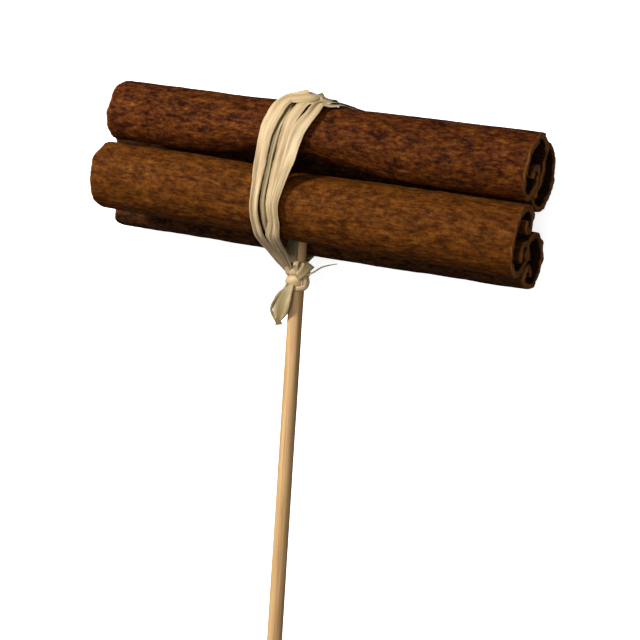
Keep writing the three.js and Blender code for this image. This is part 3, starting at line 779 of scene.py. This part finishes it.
def knot_strips():
    """The wraps of the knot, the leaf-shaped loop, the cut ends, one stray fibre, and a dark strip over the
    pick that paints the shadow falling on it.
    """
    front = (0, 0, 1)
    leaf = free_stations([
        (by_pick(-0.3, -1.4, 1.9), front, 1.4), (by_pick(-0.9, -2.8, 2.3), front, 2.2),
        (by_pick(-1.7, -4.4, 2.2), (-0.25, 0, 1), 3.6), (by_pick(-2.2, -6.2, 1.9), (-0.25, 0, 1), 3.6),
        (by_pick(-2.7, -8.0, 1.4), front, 1.3),
    ], 90)
    left_rim = free_stations([
        (by_pick(-0.9, -1.5, 2.0), front, 0.6), (by_pick(-2.0, -2.9, 2.0), (-0.4, 0, 1), 0.6),
        (by_pick(-3.5, -4.6, 1.8), (-0.4, 0, 1), 0.6), (by_pick(-4.1, -6.3, 1.5), (-0.4, 0, 1), 0.6),
        (by_pick(-3.0, -8.3, 1.3), front, 0.6),
    ], 80, 0.3)
    right_rim = free_stations([
        (by_pick(0.2, -1.6, 2.2), front, 0.6), (by_pick(0.1, -3.2, 2.4), front, 0.5),
        (by_pick(-0.1, -4.8, 2.4), front, 0.45), (by_pick(-0.7, -6.6, 2.2), front, 0.45),
        (by_pick(-2.4, -8.1, 1.6), front, 0.6),
    ], 80, 0.3)
    leaf_end = free_stations([
        (by_pick(-2.6, -7.6, 1.7), front, 0.8), (by_pick(-2.5, -8.3, 1.6), front, 1.1),
        (by_pick(-2.4, -8.9, 1.5), front, 1.5),
    ], 30, 0.3)
    # painted shadow: a dark strip laid over the front of the pick, from the knot up under the lower front
    # stick
    painted_shadow_strap = free_stations([
        (by_pick(-0.5, 0.9, 1.75), front, 1.9), (by_pick(-0.55, 3.2, 1.75), front, 2.1),
        (by_pick(-0.5, 7.8, 1.65), front, 2.0),
    ], 50)
    fan_stub = free_stations([
        (by_pick(0.9, -0.4, 2.0), front, 0.9), (by_pick(2.3, 0.7, 2.2), (0.2, 0, 1), 1.1),
        (by_pick(3.5, 2.3, 2.4), (0.3, 0, 1), 1.9),
    ], 50, 0.2)
    pale_stub = free_stations([
        (by_pick(0.9, 0.2, 2.0), front, 1.0), (by_pick(1.8, 1.3, 2.0), (0.3, 0, 1), 1.1),
        (by_pick(2.2, 2.3, 1.9), (0.3, 0.2, 1), 1.3),
    ], 50, 0.2)
    side_loop = free_stations([
        (by_pick(1.2, 0.9, 1.5), (0.8, 0, 0.6), 1.0), (by_pick(2.4, -0.3, 1.3), (0.9, 0, 0.5), 1.2),
        (by_pick(2.2, -1.8, 1.2), (0.8, -0.3, 0.6), 1.1), (by_pick(0.8, -2.3, 1.7), (0.2, -0.4, 0.9), 1.0),
        (by_pick(-0.6, -1.9, 1.75), front, 0.9),
    ], 60, 0.25)
    hair = free_stations([
        (by_pick(1.6, -0.2, 1.9), front, 0.34), (by_pick(4.0, 0.9, 2.1), front, 0.3),
        (by_pick(5.7, 1.9, 2.3), front, 0.26), (by_pick(8.5, 2.6, 2.2), front, 0.16),
    ], 60, 0.16)
    bumps = [
        free_stations([
            (by_pick(x, 0.3, 1.7), front, 1.0), (by_pick(x + 0.1, 2.1, 2.6), (0, 0.6, 0.8), 0.95),
            (by_pick(x + 0.2, 2.6, 1.7), (0, 1, 0), 0.9), (by_pick(x + 0.2, 1.0, 1.2), (0, 1, -0.3), 0.8),
        ], 40, 0.25) for x in (-1.15, 0.45)
    ]
    return [
        (knot_wrap(1.6, 160, (1.2, 0.8), (1.9, 2.2), 1.9, 120), (1.6, 0.16, 0.04, -1.3, 0.0, 21.0)),
        (knot_wrap(1.6, 190, (-0.7, -1.1), (1.9, 2.2), 1.9, 120), (1.6, 0.16, 0.04, -1.3, 0.0, 24.0)),
        (leaf, (2.0, 0.24, 0.06, -0.14, 0.12, 31.0)),
        (left_rim, (1.0, 0.05, 0.04, -0.4, 0.18, 33.0)),
        (right_rim, (1.0, 0.05, 0.04, -0.4, 0.1, 35.0)),
        (leaf_end, (1.0, 0.08, 0.04, 0.0, 0.3, 37.0)),
        (painted_shadow_strap, (1.4, 0.12, 0.04, -0.5, 0.9, 38.0)),
        (fan_stub, (2.4, 0.24, 0.05, 0.25, 0.16, 39.0)),
        (pale_stub, (1.6, 0.16, 0.05, 0.2, 0.0, 41.0)),
        (side_loop, (1.6, 0.16, 0.05, -0.3, 0.0, 42.0)),
        (hair, (1.0, 0.0, 0.02, 0.0, 0.1, 43.0)),
        *[(bump, (1.2, 0.08, 0.04, -0.3, 0.0, 45.0 + i)) for i, bump in enumerate(bumps)],
    ]


def joined(pieces, name):
    """Joins mesh objects into the first one."""
    with bpy.context.temp_override(active_object=pieces[0], selected_editable_objects=pieces):
        bpy.ops.object.join()
    pieces[0].name = name
    pieces[0].data.name = name
    return pieces[0]


def make_raffia(name, strips, tree, material):
    made = []
    # shade is how much painted shade darkens the strip
    for i, (stations, (pleats, depth, crinkle, cup, painted_shade, seed)) in enumerate(strips):
        length = guide_length(stations)
        made.append(grow(f"{name}_{i}", tree, guide_mesh(stations), {
            "Length cells": max(24, int(length / (0.22))), "Width cells": 15,
            "Length": length, "Pleats": pleats, "Pleat depth": depth, "Crinkle": crinkle,
            "Cup": cup, "Painted shade": painted_shade, "Seed": seed, "Material": material,
        }))
    piece = joined(made, name)
    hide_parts("raffia_tie")
    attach(piece, "root")
    return piece


# ---------------------------------------------------------------- finishes


def streak_group():
    """Lengthwise streaks or blotches: noise drawn out along the first coordinate."""
    t = Tree("streaks", "ShaderNodeTree",
             {"Place": VECTOR, "Long": FLOAT, "Wide": FLOAT, "Shift": FLOAT, "Detail": FLOAT},
             {"Value": FLOAT})
    parts = t.split(t.input["Place"])
    at = t.join(t.math("DIVIDE", parts[0], t.input["Long"]), t.math("DIVIDE", parts[1], t.input["Wide"]),
                t.math("ADD", t.math("DIVIDE", parts[2], t.input["Wide"]), t.input["Shift"]))
    t.put(t.output["Value"], t.noise(at, t.input["Detail"], 0.6))
    return t


STREAKS = streak_group()


class Finish(Tree):
    """A material's own tree, with its shader and short calls for colour."""

    def __init__(self, name, roughness, specular, sheen=0.0):
        self.material = bpy.data.materials.new(name)
        self.material.use_nodes = True
        self.tree = self.material.node_tree
        self.shader = next(n for n in self.tree.nodes if n.type == "BSDF_PRINCIPLED").inputs
        self.shader["Roughness"].default_value = roughness
        self.shader["Specular IOR Level"].default_value = specular
        self.shader["Sheen Weight"].default_value = sheen

    def streaks(self, place, long, wide, shift=0.0, detail=3.0):
        return self.group(STREAKS, Place=place, Long=long, Wide=wide, Shift=shift, Detail=detail)["Value"]

    def attribute(self, name):
        return self.add("ShaderNodeAttribute", attribute_name=name).outputs["Vector"]

    def mix(self, share, first, second, blend="MIX"):
        node = self.add("ShaderNodeMix", data_type="RGBA", blend_type=blend)
        for socket, value in zip((node.inputs[0], node.inputs[6], node.inputs[7]), (share, first, second)):
            self.put(socket, (*value, 1) if isinstance(value, tuple) else value)
        return node.outputs[2]

    def colours(self, value, stops):
        node = self.add("ShaderNodeValToRGB", {"Fac": value})
        band = node.color_ramp
        while len(band.elements) < len(stops):
            band.elements.new(0.5)
        for element, (at, colour) in zip(band.elements, stops):
            element.position = at
            element.color = (*colour, 1)
        return node.outputs["Color"]

    def relief(self, height, depth, strength):
        bump = self.add("ShaderNodeBump", {"Height": height, "Distance": depth * MM, "Strength": strength})
        self.put(self.shader["Normal"], bump.outputs[0])


def tint(red, green, blue):
    """A display colour, 0 to 255, as the linear colour that a shader takes."""
    def linear(c):
        c /= 255
        return c / 12.92 if c <= 0.04045 else ((c + 0.055) / 1.055) ** 2.4
    return linear(red), linear(green), linear(blue)


def bark_finish(name, dark, middle, light, fleck, shift):
    f = Finish(name, 0.8, 0.06)
    sheet = f.attribute("sheet")
    cut, inside, _ = f.split(f.attribute("mask"))
    blotch = f.streaks(sheet, 3.0, 1.3, shift, 5)
    patch = f.streaks(sheet, 1.1, 0.5, shift + 5, 3)
    fibre = f.streaks(sheet, 2.6, 0.2, shift + 9, 3)
    speck = f.streaks(sheet, 0.55, 0.36, shift + 15, 2)
    tone = f.math("ADD", f.math("MULTIPLY", blotch, 0.52), f.math("MULTIPLY", patch, 0.48))
    tone = f.math("ADD", tone, f.math("MULTIPLY", f.math("SUBTRACT", fibre, 0.5), 0.22))
    colour = f.colours(tone, [(0.39, dark), (0.485, middle), (0.59, light), (0.69, fleck)])
    colour = f.mix(f.ramp(speck, 0.62, 0.74, 0.0, 0.55), colour, fleck)
    colour = f.mix(f.ramp(speck, 0.43, 0.30, 0.0, 0.75), colour, dark)
    inner = f.colours(fibre, [(0.3, tint(22, 10, 4)), (0.6, tint(48, 25, 10))])
    colour = f.mix(f.ramp(inside, 0.75, 0.25), colour, inner)
    layers = f.streaks(f.vector("MULTIPLY", sheet, (0.2, 0.25, 6.0)), 1.0, 1.0, shift, 3)
    end = f.colours(layers, [(0.3, tint(84, 48, 19)), (0.65, tint(162, 104, 54))])
    f.put(f.shader["Base Color"], f.mix(cut, colour, end))
    f.put(f.shader["Roughness"], f.ramp(patch, 0.3, 0.7, 0.9, 0.66))
    height = f.math("ADD", f.math("MULTIPLY", fibre, 0.6), f.math("MULTIPLY", speck, 0.4))
    f.relief(height, 0.16, 0.7)
    return f.material


def raffia_finish():
    f = Finish("raffia", 0.5, 0.35, 0.15)
    sheet = f.attribute("sheet")
    pleat_shade = f.split(f.attribute("mask"))[0]
    fibre = f.streaks(sheet, 9.0, 0.12, 2.0, 3)
    stain = f.streaks(sheet, 7.0, 1.2, 6.0, 2)
    tone = f.math("ADD", f.math("MULTIPLY", fibre, 0.6), f.math("MULTIPLY", stain, 0.4))
    colour = f.colours(tone, [(0.3, tint(148, 120, 78)), (0.5, tint(196, 167, 122)),
                              (0.7, tint(226, 200, 158))])
    # painted shade: pleat valleys, and strips given a shade, go towards dark olive
    colour = f.mix(f.ramp(pleat_shade, 0.03, -0.24, 0.0, 0.9), colour, tint(98, 84, 44))
    f.put(f.shader["Base Color"], colour)
    f.relief(fibre, 0.06, 0.6)
    return f.material


def pick_finish():
    f = Finish("pale_wood", 0.62, 0.3)
    sheet = f.attribute("sheet")
    cut = f.split(f.attribute("mask"))[0]
    grain = f.streaks(sheet, 16.0, 0.26, 1.0, 3)
    wash = f.streaks(sheet, 30.0, 1.4, 4.0, 2)
    tone = f.math("ADD", f.math("MULTIPLY", grain, 0.55), f.math("MULTIPLY", wash, 0.45))
    colour = f.colours(tone, [(0.3, tint(165, 119, 70)), (0.5, tint(204, 162, 109)),
                              (0.7, tint(221, 186, 138))])
    pore = f.streaks(sheet, 5.0, 0.12, 9.0, 1)
    colour = f.mix(f.ramp(pore, 0.66, 0.76, 0.0, 0.5), colour, tint(140, 96, 56))
    colour = f.mix(f.math("MULTIPLY", cut, 0.6), colour, tint(190, 146, 98))
    f.put(f.shader["Base Color"], colour)
    f.relief(grain, 0.05, 0.6)
    return f.material


# ---------------------------------------------------------------- making the bundle

# The tints of each bark run from its darkest patches to its palest flecks.
BARKS = {
    "bark_red": bark_finish(
        "bark_red", tint(34, 10, 3), tint(68, 30, 5), tint(95, 49, 11), tint(128, 76, 27), 1.0),
    "bark_olive": bark_finish(
        "bark_olive", tint(54, 25, 3), tint(80, 41, 6), tint(104, 57, 13), tint(124, 76, 25), 4.0),
    # the back sticks' bark: a darker brown, made darker still as painted shade
    "bark_dark": bark_finish(
        "bark_dark", tint(28, 12, 4), tint(56, 29, 10), tint(80, 44, 18), tint(98, 60, 32), 8.0),
}

rolled_bark = bark_tree()
for quill in ROLLS:
    make_quill(quill, rolled_bark, BARKS[ROLLS[quill]["slot"]])
make_pick(pick_tree(), pick_finish())
raffia = raffia_finish()
raffia_strip = strip_tree()
make_raffia("raffia_turns", turn_strips(), raffia_strip, raffia)
make_raffia("raffia_knot", knot_strips(), raffia_strip, raffia)

# ---------------------------------------------------------------- floor, light and camera

CAMERA_FROM = (122.48, -30.19, 285.1)    # from the anchor
CAMERA_TO = (2.27, -25.35, 10.3)
CAMERA_ROLL = 10.92                      # degrees
LENS = 93.83
LIGHTS_TO = (0, -10, 10)


def aimed(position, target, roll=0.0):
    """A matrix that looks from one point to another with +Y up in the picture, then rolls."""
    back = (position - target).normalized()
    right = Vector((0, 1, 0)).cross(back).normalized()
    up = back.cross(right)
    turn = Matrix((right, up, back)).transposed().to_4x4()
    return Matrix.Translation(position * MM) @ turn @ Matrix.Rotation(math.radians(roll), 4, "Z")


def add_camera():
    data = bpy.data.cameras.new("camera")
    data.lens = LENS
    data.clip_start, data.clip_end = 0.01, 10
    camera = bpy.data.objects.new("camera", data)
    camera.matrix_world = aimed(place(*CAMERA_FROM), place(*CAMERA_TO), CAMERA_ROLL)
    bpy.context.scene.collection.objects.link(camera)
    bpy.context.scene.camera = camera


def add_light(name, x, y, z, size, power):
    data = bpy.data.lights.new(name, "AREA")
    data.size, data.energy = size * MM, power
    lamp = bpy.data.objects.new(name, data)
    lamp.matrix_world = aimed(place(x, y, z), place(*LIGHTS_TO))
    bpy.context.scene.collection.objects.link(lamp)


def add_floor():
    mesh = bpy.data.meshes.new("floor")
    corners = ((-1, -1), (1, -1), (1, 1), (-1, 1))
    spots = [(x * FLOOR_REACH, y * FLOOR_REACH, -FLOOR_DROP) for x, y in corners]
    mesh.from_pydata(spots, [], [(0, 1, 2, 3)])
    finish = Finish("floor", 0.9, 0.1)
    seen = finish.add("ShaderNodeLightPath").outputs["Is Camera Ray"]
    finish.put(finish.shader["Base Color"], finish.mix(seen, FLOOR_BOUNCE, FLOOR_COLOUR))
    finish.put(finish.shader["Emission Color"], finish.mix(seen, (0, 0, 0), FLOOR_COLOUR))
    finish.shader["Emission Strength"].default_value = FLOOR_LIFT
    mesh.materials.append(finish.material)
    floor = bpy.data.objects.new("floor", mesh)
    bpy.context.scene.collection.objects.link(floor)


def add_world(strength):
    world = bpy.data.worlds.new("studio")
    world.use_nodes = True
    background = next(n for n in world.node_tree.nodes if n.type == "BACKGROUND")
    background.inputs["Color"].default_value = (1, 1, 1, 1)
    background.inputs["Strength"].default_value = strength
    bpy.context.scene.world = world


bpy.context.scene.view_settings.view_transform = "Standard"
add_camera()
add_floor()
add_world(WORLD_LIGHT)
# lights: x, y and z from the anchor and size in millimetres, then watts
add_light("key", -230, 130, 345, 90, 2.25)
add_light("fill", 80, -50, 415, 260, 0.65)
